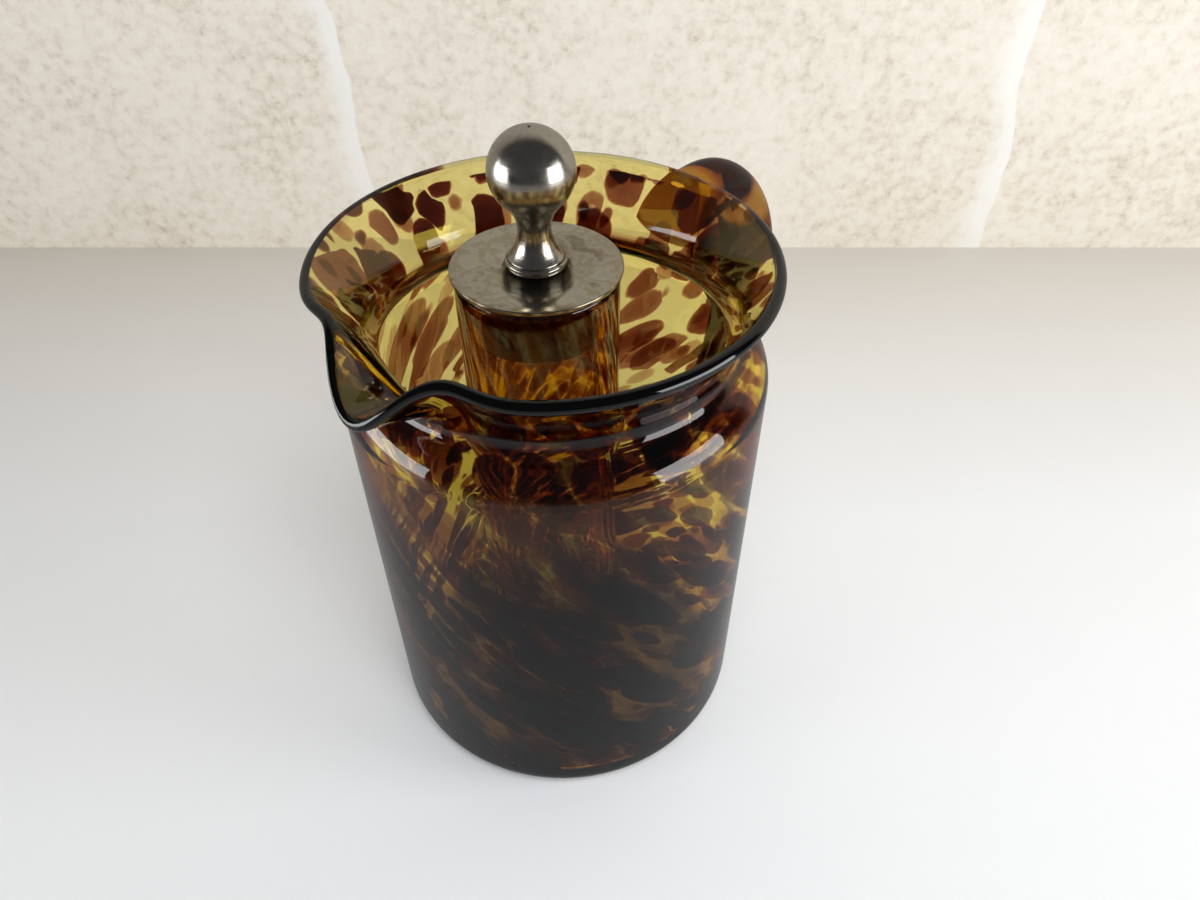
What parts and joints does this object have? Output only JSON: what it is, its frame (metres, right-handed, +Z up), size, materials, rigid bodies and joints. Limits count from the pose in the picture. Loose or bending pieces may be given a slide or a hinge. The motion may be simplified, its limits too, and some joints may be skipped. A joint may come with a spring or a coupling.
{
  "type": "cocktail pitcher",
  "caption": "Blown-glass cocktail pitcher with flared pouring mouth and looped glass handle, holding a lift-out glass ice tube closed by a plugged metal lid with a ball knob.",
  "frame": {"origin": "centre of the flat base, on the axis of the straight body", "axes": "+Z up along the body's axis, +X towards the handle, -X towards the spout"},
  "size_m": [0.2293, 0.1554, 0.2534],
  "materials": {
    "pitcher_glass": "gloss, amber with brown tortoiseshell spots",
    "tube_glass": "gloss, amber with close brown streaks",
    "silver_plate": "polished plate, tarnished",
    "screw_steel": "satin"
  },
  "bodies": {
    "pitcher": {"pitcher_body": "pitcher_glass", "handle": "pitcher_glass"},
    "tube": {"ice_tube": "tube_glass"},
    "lid": {"lid_plate": "silver_plate", "plug_cup": "silver_plate", "knob": "silver_plate", "lid_screw": "screw_steel", "screw_washer": "screw_steel"}
  },
  "joints": [
    {"name": "tube_lift", "type": "slide", "parent": "pitcher", "child": "tube", "axis": [0, 0, 1], "range_m": [0, 0.23]},
    {"name": "lid_lift", "type": "slide", "parent": "tube", "child": "lid", "axis": [0, 0, 1], "range_m": [0, 0.06]}
  ]
}
